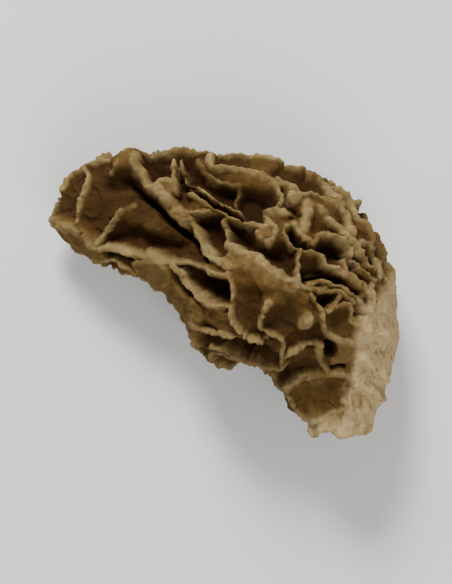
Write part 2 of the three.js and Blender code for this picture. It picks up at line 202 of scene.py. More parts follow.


# The net of ridges, which grows as one with the cap. On the upper side the ridges, the floors of
# the pits between them and a few narrow clefts are listed one by one. Elsewhere the pits are sown
# evenly as cells, and the ridges are the Voronoi net between them. Points are x and y from above.

# Floors: each point's x and y, and how deep the floor lies there.
UPPER_FLOORS = [
    (-24.4, 16.6, 2.2), (-24.4, 13.0, 2.2), (-24.6, 8.8, 0.6), (-22.4, 7.6, 0.6), (-20.0, 18.2, 2.3),
    (-20.4, 14.8, 2.3), (-20.4, 11.2, 2.3), (-18.0, 13.6, 2.3), (-15.8, 14.6, 2.3), (-17.4, 17.2, 3.6),
    (-15.6, 17.2, 4.0), (-15.4, 19.6, 0.8), (-12.9, 13.1, 2.7), (-16.8, 8.4, 3.6), (-14.0, 8.4, 3.8),
    (-11.6, 7.4, 3.8), (-9.0, 6.8, 4.0), (-7.0, 5.6, 3.0), (-14.0, 11.2, 1.9), (-12.0, 10.4, 1.2),
    (-10.2, 9.2, 1.9), (-8.4, 8.0, 2.4), (-11.0, 19.4, 4.0), (-10.0, 18.2, 4.2), (-9.2, 15.9, 0.6),
    (-5.6, 19.0, 4.6), (-4.2, 17.7, 4.6), (-2.4, 16.4, 4.8), (-0.7, 15.7, 5.0), (0.6, 15.6, 5.0),
    (-3.2, 19.4, 1.7), (-1.7, 19.5, 2.9), (1.6, 19.6, 2.4), (5.0, 19.3, 1.2), (-1.8, 17.9, 1.9),
    (0.4, 17.6, 1.7), (3.0, 17.5, 1.4), (5.4, 17.0, 1.7), (7.4, 16.4, 0.6), (3.0, 15.2, 4.8),
    (4.8, 14.6, 4.8), (6.6, 15.0, 4.8), (3.4, 13.0, 4.6), (4.8, 12.4, 4.4), (4.2, 11.4, 4.6),
    (-5.0, 13.7, 1.4), (-4.0, 13.1, 1.2), (-6.3, 14.7, 2.9), (-3.7, 11.0, 4.6), (-2.3, 10.5, 4.8),
    (-1.9, 9.0, 4.6), (-1.3, 7.7, 3.8), (0.8, 9.3, 4.6), (2.6, 8.6, 4.8), (4.4, 7.0, 4.6),
    (6.4, 6.5, 4.4), (8.4, 6.6, 4.4), (9.3, 4.6, 4.2), (9.5, 3.0, 4.2), (7.2, 5.0, 3.8),
    (3.6, 9.8, 1.7), (6.1, 9.9, 0.5), (6.0, 8.7, 0.6), (8.3, 9.0, 1.4), (9.4, 18.0, 2.4),
    (11.4, 17.4, 2.9), (13.4, 16.8, 3.1), (9.6, 15.4, 1.4), (8.4, 11.6, 1.4), (10.4, 12.9, 2.2),
    (11.0, 10.9, 0.8), (14.1, 12.2, 2.0), (14.6, 10.4, 2.3), (16.4, 10.2, 2.4), (13.7, 9.1, 1.4),
    (11.6, 14.2, 1.9), (14.4, 14.9, 1.4), (16.6, 13.1, 0.9), (17.6, 12.0, 1.4), (18.9, 12.2, 2.4),
    (19.6, 10.3, 2.4), (21.2, 9.4, 1.4), (14.4, 7.3, 3.8), (16.0, 6.9, 4.8), (17.6, 6.9, 5.0),
    (18.8, 6.9, 5.0), (17.0, 5.4, 4.6), (17.4, 4.2, 1.4), (12.2, 4.7, 2.2), (13.6, 4.4, 2.4),
    (12.2, 2.7, 3.8), (14.0, 2.8, 4.4), (13.6, 0.9, 1.4), (15.6, 1.1, 1.0), (1.2, 5.2, 0.5),
    (3.4, 4.2, 0.5), (5.4, 3.0, 0.5), (7.6, 2.0, 0.4), (9.4, 0.9, 0.6), (11.2, -0.4, 0.8),
    (-6.2, 2.7, 3.4), (-4.4, 1.5, 4.4), (-2.4, 0.3, 4.8), (-1.6, -0.9, 4.6), (-2.4, 3.6, 1.2),
    (-3.0, -3.8, 1.1), (-1.4, -4.8, 1.2), (-10.8, 3.2, 0.5), (-9.2, 0.6, 0.6), (-7.4, -2.0, 0.6),
    (-5.8, -4.6, 0.7), (2.2, 1.8, 1.2), (2.4, -0.6, 2.2), (2.6, -3.0, 2.7), (3.0, -5.2, 2.6),
    (3.4, -6.8, 2.8), (7.6, -1.2, 1.3), (10.4, -1.8, 1.5), (7.3, -3.4, 2.1), (9.6, -4.0, 2.0),
    (7.2, -5.2, 2.6), (9.4, -6.6, 2.3), (10.4, -8.3, 2.6), (12.6, -7.0, 2.5), (13.4, -2.8, 1.6),
    (-3.8, -8.1, 2.3), (-1.2, -8.9, 3.6), (1.6, -9.6, 4.2), (4.4, -10.2, 4.2), (6.7, -9.2, 1.5),
    (6.8, -10.9, 2.6), (10.4, -11.2, 1.6), (12.4, -10.6, 1.6), (11.2, -12.3, 2.6), (9.0, -12.6, 2.8),
    (11.0, -15.3, 1.1), (13.4, -14.6, 0.9), (15.6, -14.5, 1.0), (12.0, -17.2, 1.0), (14.6, -16.8, 1.0),
    (13.4, -19.0, 0.8), (14.3, -0.6, 4.2), (15.8, -0.7, 4.2), (15.0, -1.5, 4.2), (16.6, -4.0, 1.7),
    (18.0, -4.2, 1.8), (17.0, -6.0, 1.6), (18.7, -6.0, 1.2), (18.7, -0.9, 1.6), (21.4, 0.2, 1.4),
    (24.4, 1.2, 1.6), (22.4, -4.6, 0.5), (21.8, -7.0, 0.5), (23.4, -9.0, 0.4), (18.2, -9.2, 0.5),
    (19.4, -11.2, 0.5),
]

# Ridges: how much of their height they keep, half their thickness, and the points they run through.
UPPER_RIDGES = [
    (0.85, 0.42, [(-22.2, 19.8), (-21.5, 18.0), (-21.9, 16.0), (-22.5, 13.6), (-23.2, 10.8)]),
    (0.95, 0.80, [(-27.2, 10.4), (-24.8, 10.0), (-22.8, 8.9), (-20.9, 7.1)]),
    (0.85, 0.42, [(-20.0, 7.1), (-19.0, 8.8), (-17.6, 10.6), (-15.9, 12.2)]),
    (0.50, 0.42, [(-15.9, 12.2), (-14.2, 13.4)]),
    (0.95, 0.75, [(-20.8, 6.9), (-18.2, 6.4), (-15.6, 6.2), (-13.0, 5.5), (-10.4, 5.1), (-8.4, 4.4)]),
    (0.60, 0.45, [(-18.2, 18.6), (-16.4, 19.6)]),
    (1.00, 0.95, [(-13.7, 20.4), (-13.3, 18.6), (-12.3, 16.9), (-10.9, 15.5), (-9.4, 14.3)]),
    (1.00, 1.30, [(-9.4, 14.3), (-8.2, 13.3), (-7.4, 11.9), (-6.3, 10.6)]),
    (1.00, 0.75, [(-6.3, 10.6), (-5.0, 9.4), (-4.3, 8.0), (-3.6, 6.8), (-2.8, 5.8), (-1.4, 4.9),
                  (0.2, 4.0)]),
    (0.90, 0.55, [(-10.8, 16.6), (-9.2, 16.8), (-8.0, 16.4), (-7.7, 15.4)]),
    (0.85, 0.50, [(-8.4, 20.2), (-8.1, 18.4), (-8.0, 16.6)]),
    (0.95, 0.38, [(-7.3, 19.7), (-6.4, 18.2), (-6.1, 17.0), (-5.0, 16.8), (-3.9, 16.2), (-2.9, 15.4),
                  (-1.8, 14.5), (-0.4, 13.8), (0.9, 13.1), (2.0, 12.4)]),
    (0.55, 0.50, [(-4.6, 20.2), (-3.4, 18.7), (-1.8, 17.4), (0.0, 16.9), (1.7, 16.8)]),
    (0.60, 0.45, [(1.8, 16.7), (1.5, 15.4), (1.1, 14.4), (1.6, 13.2), (2.1, 12.4)]),
    (1.00, 0.60, [(-5.3, 15.0), (-4.0, 14.3), (-2.8, 13.6), (-1.4, 12.7), (0.0, 11.9), (1.2, 11.3),
                  (2.4, 10.7), (4.0, 10.4), (5.6, 10.3)]),
    (0.90, 0.45, [(-6.6, 12.4), (-5.4, 12.0), (-4.0, 12.2), (-2.8, 12.5), (-1.4, 12.5)]),
    (1.00, 0.45, [(-0.4, 12.0), (-0.8, 11.0), (-0.6, 9.8), (-0.4, 8.4), (0.0, 7.1)]),
    (0.95, 0.60, [(-2.7, 20.0), (-2.0, 18.6), (-0.2, 18.8), (2.0, 18.5), (4.4, 18.1), (6.4, 17.5),
                  (7.8, 16.6)]),
    (0.95, 0.42, [(7.8, 16.6), (8.6, 15.2), (8.2, 14.0), (7.4, 13.1)]),
    (0.95, 0.75, [(6.1, 12.8), (7.4, 12.9), (8.4, 12.6), (9.5, 12.3)]),
    (0.90, 0.45, [(5.8, 12.5), (6.6, 10.8), (7.3, 9.4), (6.9, 8.1), (5.8, 7.5), (5.0, 8.2), (4.6, 9.3)]),
    (0.90, 0.50, [(7.9, 17.4), (9.2, 16.8), (10.6, 16.1), (12.0, 15.8), (13.6, 16.0), (15.0, 15.3),
                  (16.6, 14.3), (18.2, 13.9)]),
    (0.95, 0.65, [(9.0, 19.4), (11.0, 18.8), (13.0, 18.5), (14.8, 17.7), (16.2, 16.7), (17.3, 15.4),
                  (18.6, 14.3)]),
    (0.95, 0.85, [(10.3, 15.0), (11.3, 15.2)]),
    (0.85, 0.90, [(13.0, 14.6), (12.9, 12.7), (12.6, 11.1), (12.1, 9.8)]),
    (0.90, 0.48, [(14.7, 14.0), (15.4, 12.6), (16.6, 11.4), (18.0, 10.7), (19.0, 9.6), (20.2, 8.7),
                  (21.1, 7.8)]),
    (0.90, 0.55, [(18.4, 14.2), (19.7, 12.7), (20.4, 11.3), (20.5, 9.6)]),
    (0.90, 0.50, [(13.3, 7.8), (14.6, 8.8), (16.4, 9.3), (18.2, 9.1), (19.5, 8.2), (20.3, 7.0),
                  (20.7, 5.6), (21.5, 4.6), (22.6, 3.5), (23.6, 2.3)]),
    (0.90, 0.42, [(9.2, 10.2), (9.0, 8.9), (9.9, 7.7), (11.2, 6.9)]),
    (0.85, 0.45, [(10.3, 10.4), (11.7, 9.4), (12.7, 8.3), (13.4, 7.6)]),
    (1.00, 0.52, [(11.2, 6.9), (10.8, 5.4), (10.8, 4.0), (10.6, 2.6), (10.8, 1.4)]),
    (1.00, 0.60, [(11.2, 6.9), (12.6, 6.4), (13.8, 5.9), (15.2, 4.9), (16.6, 4.0), (18.2, 3.2),
                  (19.8, 2.3), (21.2, 1.2), (22.2, 0.2)]),
    (0.85, 0.50, [(18.9, 5.8), (18.5, 4.6), (18.7, 3.3)]),
    (0.95, 0.75, [(-0.2, 7.1), (1.4, 6.9), (3.0, 6.1), (4.6, 5.1), (6.3, 4.2), (7.8, 3.1), (9.0, 2.1),
                  (10.8, 1.4)]),
    (0.90, 0.45, [(12.4, 1.1), (13.8, 1.8), (15.4, 1.8), (17.0, 1.3), (18.2, 0.5), (19.4, -0.4),
                  (20.4, -1.2), (20.9, -2.6)]),
    (0.95, 0.45, [(10.8, 1.4), (12.6, 0.5), (14.4, 0.3), (16.2, 0.3), (17.5, 0.2), (18.3, -0.6),
                  (19.2, -1.8)]),
    (0.90, 0.38, [(21.2, 7.3), (22.2, 6.0), (23.2, 4.9), (24.2, 4.2)]),
    (0.95, 0.55, [(21.1, 8.1), (22.6, 8.4), (23.9, 7.0), (24.8, 5.2), (25.0, 3.2)]),
    (0.80, 0.45, [(23.1, 1.8), (23.1, -0.6), (23.4, -2.4)]),
    (0.90, 0.50, [(-8.4, 4.4), (-6.0, 4.3), (-4.0, 3.4), (-2.0, 2.7), (0.1, 2.4)]),
    (0.95, 0.55, [(-8.2, 4.2), (-6.9, 2.0), (-5.7, 0.0), (-4.3, -1.4), (-2.8, -2.3), (-1.2, -2.6),
                  (0.2, -2.0)]),
    (1.00, 0.42, [(0.1, 2.8), (0.5, 0.8), (0.3, -1.2), (0.2, -3.4), (0.8, -5.4), (1.8, -7.0),
                  (3.1, -8.1), (4.5, -8.2), (5.6, -7.0)]),
    (1.00, 0.42, [(6.5, -1.6), (5.6, -2.8), (5.0, -4.4), (4.9, -5.7), (5.6, -6.5), (6.8, -6.6),
                  (7.9, -7.3), (8.5, -8.6), (8.2, -10.2), (8.0, -11.6)]),
    (0.95, 0.50, [(-5.6, -5.6), (-4.4, -6.6), (-2.8, -7.1), (-1.0, -7.3), (0.9, -7.3), (2.2, -7.7)]),
    (1.00, 0.55, [(-3.8, -9.5), (-1.4, -10.4), (1.2, -11.2), (3.6, -11.8), (6.0, -12.3), (7.4, -12.2),
                  (8.2, -11.6)]),
    (0.95, 0.48, [(8.4, -10.4), (9.8, -9.9), (11.0, -9.3), (12.0, -8.4), (13.2, -7.9), (14.0, -8.4),
                  (13.9, -9.8), (14.4, -11.0), (15.2, -12.2)]),
    (1.00, 0.55, [(8.2, -15.1), (9.2, -14.2), (11.0, -13.5), (13.0, -12.9), (15.0, -12.4),
                  (17.0, -12.6), (18.6, -13.3)]),
    (0.95, 0.45, [(8.2, -15.1), (9.3, -16.9), (10.5, -18.3), (12.0, -19.5), (13.4, -19.8),
                  (14.8, -19.1), (16.2, -18.2), (17.4, -17.5), (17.8, -16.0), (17.8, -14.4),
                  (18.2, -13.1)]),
    (1.00, 0.45, [(12.7, -0.4), (13.6, -1.6), (14.4, -2.9), (14.6, -4.4), (14.9, -5.8), (15.7, -6.8),
                  (17.2, -7.5), (19.2, -7.8)]),
    (0.90, 0.42, [(17.4, -0.4), (16.5, -1.8), (15.3, -2.8)]),
    (0.90, 0.45, [(16.7, -2.0), (18.2, -1.9), (19.0, -3.0), (19.3, -4.2), (20.2, -5.3), (21.2, -5.9)]),
    (0.85, 1.15, [(12.3, -4.3), (12.2, -5.2)]),
]

# Clefts: how deep they are, half their width, and the points they run through.
UPPER_CLEFTS = [
    (5.0, 0.70, [(-15.0, 16.8), (-13.8, 15.5), (-12.5, 14.3), (-11.2, 13.1), (-10.0, 11.9),
                  (-9.0, 10.8), (-8.0, 9.8), (-6.8, 8.9), (-6.0, 8.0), (-5.2, 6.8), (-4.3, 5.6),
                  (-3.2, 4.8)]),
    (4.6, 0.50, [(-7.1, 18.0), (-6.9, 16.4), (-6.0, 15.8), (-4.6, 15.4), (-3.3, 14.7), (-2.1, 13.7),
                  (-0.8, 13.0), (0.8, 12.3), (2.1, 11.5)]),
    (2.6, 0.40, [(8.7, 16.2), (9.1, 15.0), (9.3, 14.1)]),
    (3.6, 0.45, [(9.9, 13.8), (10.8, 13.5), (11.5, 12.8)]),
    (2.6, 0.38, [(9.9, 11.8), (10.8, 11.8)]),
    (2.4, 0.45, [(15.1, 16.1), (16.8, 14.9)]),
    (2.4, 0.45, [(20.8, 11.2), (21.7, 10.3)]),
    (4.4, 0.75, [(9.8, 9.4), (10.7, 8.4), (11.9, 7.4)]),
    (4.6, 0.55, [(19.6, 6.4), (20.0, 4.4), (20.6, 3.1), (21.6, 2.1), (22.6, 1.6)]),
    (4.2, 0.50, [(11.9, 2.0), (13.4, 2.3), (15.0, 2.8), (16.4, 2.4), (18.0, 1.7), (19.3, 0.8),
                  (20.4, 0.2)]),
    (3.0, 0.48, [(22.3, 7.2), (23.0, 6.2), (23.7, 5.1)]),
    (2.6, 0.42, [(22.1, 4.4), (23.0, 3.5), (23.7, 2.9)]),
    (3.4, 0.60, [(21.7, -0.9), (22.0, -1.9)]),
    (3.0, 0.50, [(19.9, -3.5), (21.0, -3.4)]),
    (5.0, 1.00, [(15.5, -8.4), (15.6, -9.0)]),
    (2.4, 0.40, [(15.9, -11.4), (16.8, -11.2), (17.6, -11.3)]),
]

# Soft raised folds of the stem's flank: their height, half their width, and their points.
STEM_FOLDS = [
    (1.5, 0.9, [(18.4, -13.2), (20.0, -14.1), (21.8, -15.0), (23.6, -16.0)]),
    (1.2, 0.8, [(20.6, -15.6), (20.9, -17.6), (21.4, -19.4), (21.6, -21.0)]),
    (1.1, 0.7, [(17.9, -14.0), (18.2, -16.4), (19.0, -18.4), (19.4, -20.6)]),
    (1.2, 0.9, [(20.6, -10.0), (21.6, -11.4), (23.0, -12.6), (24.0, -13.2)]),
    (1.0, 1.0, [(21.4, -5.6), (22.6, -6.4), (24.2, -6.8)]),
]

# The sown net of the other sides: its draws, how far apart and how deep its pits are, how much of
# their height its ridges keep and how thick they are. Last, the steps of ridges and of curves.
SOW_SEED = 17
SOW_TRIES = 3000
SOW_SPACING = 5.2
NEIGHBOUR_REACH = 1.5 * SOW_SPACING
UPPER_EDGE = 0.34
JOINED_SHARE = 0.3
SOWN_DEPTH = (2.0, 4.0)
SOWN_RIM = (0.85, 1.0)
RIDGE_HALF_WIDTH = 0.52
RIDGE_KEEP = (0.8, 1)
RIDGE_SWELL = (0.75, 1.3)
CREST_STEP = 2.6
CURVE_STEP = 0.8

# Directions above stay this far from the sphere's ends and its rim, where they would be unclear.
NEAR_END = 0.99
LEAST_RISE = 0.01

# Seeded draws: the factor and the addend of each step, the numbers' range, and what scrambles a
# pair of pits.
DRAW_FACTOR = 1664525
DRAW_ADDEND = 1013904223
DRAW_RANGE = 2 ** 32
PAIR_SCRAMBLE = (12.9898, 78.233)
SINE_GAIN = 43758.5453
SECOND_DRAW = 7

Pit = namedtuple("Pit", "direction number depth rim")


def direction_above(x, y):
    """The sphere's direction for a point of the upper side seen from above."""
    outward = np.hypot(x - ARC_CENTRE[0], y - ARC_CENTRE[1]) - ARC_RADIUS
    angle = np.degrees(np.arctan2(y - ARC_CENTRE[1], x - ARC_CENTRE[0]))
    z = np.clip((angle - CAP_MIDDLE_ANGLE) / CAP_HALF_ANGLE, -NEAR_END, NEAR_END)
    side = outward / fullness(z)
    rise = np.sqrt(max(LEAST_RISE, 1 - z * z - side * side))
    return unit(np.array([side, rise, z]))


def draws(state):
    """Seeded random draws from 0 to 1, by a linear congruence modulo 2^32."""
    while True:
        state = (state * DRAW_FACTOR + DRAW_ADDEND) % DRAW_RANGE
        yield state / DRAW_RANGE


def sow_pits():
    """Every point that a pit runs through, with its pit's number, its depth and its rim's share.

    The placed floors of the upper side all have number 0, as no ridge is sown between them. Then
    even draws over the sphere are kept where they are far enough from the pits there are."""
    pits = [Pit(direction_above(x, y), 0, depth, 1.0) for x, y, depth in UPPER_FLOORS]
    placed = len(pits)
    spots = [shell_points(pit.direction) for pit in pits]
    draw = draws(SOW_SEED)
    for _ in range(SOW_TRIES):
        z = 2 * next(draw) - 1
        turn = 2 * np.pi * next(draw)
        girth = np.sqrt(1 - z * z)
        direction = np.array([girth * np.cos(turn), girth * np.sin(turn), z])
        spot = shell_points(direction)
        far = np.linalg.norm(np.array(spots) - spot, axis=1)
        if direction[1] > UPPER_EDGE or far.min() < SOW_SPACING:
            continue
        near = [pit for pit, away in zip(pits[placed:], far[placed:]) if away < NEIGHBOUR_REACH]
        spots.append(spot)
        depth = mix(*SOWN_DEPTH, next(draw))
        rim = mix(*SOWN_RIM, next(draw))
        if near and next(draw) < JOINED_SHARE:
            pits.append(near[0]._replace(direction=direction))
        else:
            pits.append(Pit(direction, len(pits), depth, rim))
    return pits


def pair_draw(a, b):
    """A fixed draw from 0 to 1 for two pits: the fraction of a large sine of their numbers."""
    wild = np.sin(min(a, b) * PAIR_SCRAMBLE[0] + max(a, b) * PAIR_SCRAMBLE[1]) * SINE_GAIN
    return wild - np.floor(wild)


def hull_faces(directions):
    """The triangles of the directions' convex hull, which join each three neighbouring pits."""
    hull = bmesh.new()
    for direction in directions:
        hull.verts.new(direction)
    hull.verts.index_update()
    bmesh.ops.convex_hull(hull, input=hull.verts)
    bmesh.ops.triangulate(hull, faces=hull.faces)
    faces = [[vert.index for vert in face.verts] for face in hull.faces]
    hull.free()
    return faces


def curve_above(points):
    """A smooth curve on the bare skin through points seen from above, in short steps.

    It is a Catmull-Rom curve: between p1 and p2, at the share s of the way, half of
    2 p1 + (p2 - p0) s + (2 p0 - 5 p1 + 4 p2 - p3) s^2 + (3 p1 - p0 - 3 p2 + p3) s^3."""
    knots = np.array([points[0], *points, points[-1]])
    pieces = []
    for p0, p1, p2, p3 in zip(knots[:-3], knots[1:-2], knots[2:-1], knots[3:]):
        steps = max(1, round(np.linalg.norm(p2 - p1) / CURVE_STEP))
        s = np.arange(steps)[:, None] / steps
        pieces.append((2 * p1 + (p2 - p0) * s + (2 * p0 - 5 * p1 + 4 * p2 - p3) * s ** 2
                       + (3 * p1 - p0 - 3 * p2 + p3) * s ** 3) / 2)
    return skin_above(np.concatenate([*pieces, knots[-1:]]))


def placed_stretches(rows):
    """Placed ridges or clefts, as short straight stretches (start, end, height or depth, half width)."""
    stretches = []
    for much, half_width, points in rows:
        path = curve_above(points)
        stretches += [(p, q, much, half_width) for p, q in zip(path[:-1], path[1:])]
    return stretches


def sown_stretches():
    """The sown ridges, as short straight stretches (start, end, height kept, half width).

    A corner of the net is the pole of a hull triangle, and a ridge joins the corners of the two
    triangles on each side of a hull edge. Two parts of one pit have none between them."""
    directions = np.array([pit.direction for pit in pits])
    corners_beside = {}
    for face in hull_faces(directions):
        a, b, c = directions[face]
        corner = unit(np.cross(b - a, c - a))
        corner = corner * np.sign(corner @ (a + b + c))
        for i in range(3):
            pair = tuple(sorted((face[i], face[(i + 1) % 3])))
            corners_beside.setdefault(pair, []).append(corner)
    stretches = []
    for (a, b), (start, end) in sorted(corners_beside.items()):
        if pits[a].number == pits[b].number:
            continue
        chance = pair_draw(a, b)
        keep = min(pits[a].rim, pits[b].rim) * mix(*RIDGE_KEEP, chance)
        half_width = RIDGE_HALF_WIDTH * mix(*RIDGE_SWELL, (chance * SECOND_DRAW) % 1)
        length = np.linalg.norm(shell_points(start) - shell_points(end))
        steps = max(1, round(length / CREST_STEP))
        shares = np.linspace(0, 1, steps + 1)[:, None]
        path = shell_points(unit(mix(start, end, shares)))
        stretches += [(p, q, keep, half_width) for p, q in zip(path[:-1], path[1:])]
    return stretches


pits = sow_pits()
ridges = placed_stretches(UPPER_RIDGES) + sown_stretches()
clefts = placed_stretches(UPPER_CLEFTS)
stem_folds = placed_stretches(STEM_FOLDS)
pit_spots = shell_points(np.array([pit.direction for pit in pits]))
pit_spots[:len(UPPER_FLOORS)] = skin_above([floor[:2] for floor in UPPER_FLOORS])


# The body's skin: one closed surface that runs from the tip over the cap, down the stem, round
# the cut lip of its foot, up the bore and through the hollow to its blind end. It is worked out
# on a fine grid, and thinned afterwards where it is nearly flat.
CAP_ROWS = 470
STEM_ROWS = 50
LIP_ROWS = 8
HOLLOW_ROWS = 44
COLUMNS = 540
UPPER_CROWDING = 0.22
CAP_END = -0.951
SKIN_TRIANGLES = 196000

# The hollow, the wall left round it, and the cut at the foot, set back a little there. The cut's
# edge strays by CUT_WAVES: each wave's swing in degrees of the arc, its count round the section
# and its phase.
BORE_HALF_WIDTH = 3.3
BORE_HALF_HEIGHT = 3.1
HOLLOW_TIP_HALF_WIDTH = 1.0
HOLLOW_TIP_HALF_HEIGHT = 0.5
HOLLOW_SHIFT = 1.2
HOLLOW_SHIFT_FROM = (9, 16)
HOLLOW_SHIFT_TO = (36, 22)
HOLLOW_INSET = 5.9
HOLLOW_TIP_ANGLE = 84.0
HOLLOW_CROWDING = 1.15
HOLLOW_UNEVENNESS = 0.2
HOLLOW_MARGIN_ANGLE = 1.0
LEAST_WALL = 0.7
LEAST_AWAY = 0.1
CUT_WAVES = [(0.8, 3, 0.7), (0.5, 7, 0.0)]
CUT_FADE_ANGLE = 5.0
CUT_INSET_ANGLE = 0.4
CUT_BULGE = 0.45

# Walls of ridges, and floors of pits. The crests wander by WAVES: each wave's direction and
# closeness, the way it pushes, and its phase.
DEPTH_REACH = 1.25
DEEPENING = 1.05
WALL_SHARE = 0.62
WALL_STEEPNESS = 2.5
FILLET_REACH = 1.6
REACHED = 2
BAND_REACHED = 2.5
CLEFT_STEEPNESS = 4
FOLD_STEEPNESS = 2
LIP_BULGE = 0.25
WARP = 0.35
FINE_WARP = 0.2
THICKNESS = 0.9
THICKNESS_CHANGE = 0.3
FINE_THICKNESS_CHANGE = 0.25
LEAST_THICKNESS = 0.4
CREST_SAG = 0.13
CREST_WANDER = 0.4
CREST_CRUMBLE = 0.3
PUCKER = 0.4
FINE_PUCKER = 0.12
FLOOR_SWELL = 0.25
WAVES = [
    ((0.1, 0.83, 0.61), (0.42, 0.1, 0.2), 0.4),
    ((0.92, -0.2, 0.35), (0.05, 0.45, 0.2), 1.9),
    ((0.5, 0.64, -0.8), (0.3, -0.25, 0.3), 3.1),
    ((1.7, -1.3, 0.9), (0.2, 0.14, 0.16), 2.2),
    ((-1.1, 1.9, 1.2), (0.12, 0.2, -0.18), 5.0),
]

# The net fades out over a few degrees where the stem begins, which is higher on the outside of
# the bend. Then the stem's wrinkles and its long furrows.
NET_EDGE_ANGLE = (3.0, 27.0)
NET_EDGE_SLANT = (0.0, 0.6)
NET_FADE_BELOW = 3
NET_FADE_ABOVE = 4
STEM_WRINKLE = 0.2
STEM_FINE_WRINKLE = 0.12
STEM_FURROW = 0.7
STEM_FURROW_DEPTH = 0.5
STEM_FURROW_FADE = (4, 10)
ALONG_FOLDS = np.array([1, 0.3, 1])
ALONG_FURROWS = np.array([1, 0.4, 1])

# Smooth noise: how far seeds lie apart, and the numbers that scramble a grid corner's place.
SEED_STRIDE = 17.31
SCRAMBLE = np.array([[127.1, 269.5, 419.2], [311.7, 183.3, 371.9], [74.7, 246.1, 168.2]])
NOISE_GAIN = 1.8


def noise(points, size, seed=0):
    """Smooth noise of about -1 to 1, in lumps of the given size in mm. Each seed has its own.

    Each corner of a cubic grid has a slope, three fractions of large sines of its place. A point
    takes from each of the eight corners round it the slope times its offset from the corner, and
    blends them by its eased share of the way."""
    scaled = points / size + seed * SEED_STRIDE
    cell = np.floor(scaled)
    offset = scaled - cell
    share = offset * offset * (3 - 2 * offset)
    total = np.zeros(points.shape[:-1])
    for corner in np.ndindex(2, 2, 2):
        place = (cell + corner) @ SCRAMBLE
        wild = np.sin(place) * SINE_GAIN
        slope = 2 * (wild - np.floor(wild)) - 1
        weight = np.prod(np.where(corner, share, 1 - share), axis=-1)
        total += weight * ((offset - corner) * slope).sum(axis=-1)
    return NOISE_GAIN * total


def folds(points, size, seed=0):
    """Thin creases from 0 to 1: high where smooth noise crosses zero, low where it is large."""
    return np.clip(1 - np.abs(noise(points, size, seed)), 0, 1) ** 6


def wander(points):
    """The sideways and upward wander of a crest, as a sum of sine waves."""
    total = np.zeros_like(points)
    for along, push, phase in WAVES:
        total += np.sin(points @ np.array(along) + phase)[..., None] * np.array(push)
    return total


def near_stretch(points, start, end, reach):
    """The numbers of the points in a box round a stretch, and their offsets from its line."""
    inside = (points > np.minimum(start, end) - reach) & (points < np.maximum(start, end) + reach)
    close = np.flatnonzero(inside.all(axis=1))
    along = end - start
    share = np.clip((points[close] - start) @ along / (along @ along), 0, 1)
    return close, points[close] - start - share[:, None] * along


def ridge_field(points, stretch):
    """How much of a ridge's full height stands at each point, and the push of its rounded lip.

    With the distance d from a ridge's line and its half width w, a thin wall stands as
    exp(-(d / w)^2.5), on a wider fillet exp(-(d / reach)^2) that rounds it into the floor. The
    wall's upper part is pushed away from the line, so that the crest is thicker than the wall,
    and stretch makes the wall thicker where it is more than 1. Past REACHED times the fillet's
    reach nothing stands."""
    height = np.zeros(len(points))
    lip = np.zeros_like(points)
    for start, end, keep, half_width in ridges:
        close, away = near_stretch(points, start, end, REACHED * FILLET_REACH)
        far = np.linalg.norm(away, axis=1)
        wall = np.exp(-(far / (half_width * stretch[close])) ** WALL_STEEPNESS)
        fillet = np.exp(-(far / FILLET_REACH) ** 2)
        stands = keep * (WALL_SHARE * wall + (1 - WALL_SHARE) * fillet)
        higher = stands > height[close]
        push = LIP_BULGE * (keep * wall)[:, None] * away / half_width
        height[close[higher]] = stands[higher]
        lip[close[higher]] = push[higher]
    return height, lip


def band_field(points, stretches, steepness):
    """How strong the widest bands are at each point: much exp(-(d / w)^steepness) across each."""
    strongest = np.zeros(len(points))
    for start, end, much, half_width in stretches:
        close, away = near_stretch(points, start, end, BAND_REACHED * half_width)
        band = much * np.exp(-(np.linalg.norm(away, axis=1) / half_width) ** steepness)
        strongest[close] = np.maximum(strongest[close], band)
    return strongest


def pit_depth(points):
    """The depth of the pits round each point, blended by exp(-(d / reach)^2) of the distances."""
    total = np.zeros(len(points))
    weights = np.full(len(points), 1e-12)
    for spot, pit in zip(pit_spots, pits):
        weight = np.exp(-((points - spot) ** 2).sum(axis=1) / DEPTH_REACH ** 2)
        total += weight * pit.depth
        weights += weight
    return total / weights


def column_turns():
    """The columns' angles round the section, from the outside of the bend, closer on the top."""
    even = np.arange(COLUMNS) / COLUMNS * 2 * np.pi
    return even + UPPER_CROWDING * np.cos(even)


def grid_normals(grid):
    """The outward normals of rows of points, from their neighbours along and round the body."""
    along = np.gradient(grid, axis=0)
    round_it = np.roll(grid, -1, axis=1) - np.roll(grid, 1, axis=1)
    return unit(np.cross(round_it, along))


def hollow_size(angle):
    """The hollow's shift out of the bend, half width and half height at angles along the arc.

    It lies an inset inside the shell, but is never smaller than the bore, or its narrow tip."""
    z = np.clip((angle - CAP_MIDDLE_ANGLE) / CAP_HALF_ANGLE, -1, 1)
    shell = fullness(z) * np.sqrt(1 - z * z)
    least_width = np.where(z < 0, BORE_HALF_WIDTH, HOLLOW_TIP_HALF_WIDTH)
    least_height = np.where(z < 0, BORE_HALF_HEIGHT, HOLLOW_TIP_HALF_HEIGHT)
    half_width = np.maximum(least_width, shell - HOLLOW_INSET)
    half_height = np.maximum(least_height, FLATTENING * shell - HOLLOW_INSET)
    shift = HOLLOW_SHIFT * ease(angle, *HOLLOW_SHIFT_FROM) * ease(angle, *HOLLOW_SHIFT_TO)
    return shift, half_width, half_height


def hollow_rows(angle, turn):
    """The wall of the bore and the hollow: an ellipse of that size at each angle and turn."""
    shift, half_width, half_height = hollow_size(angle)
    return beside_arc(angle, shift + half_width * np.cos(turn), half_height * np.sin(turn))


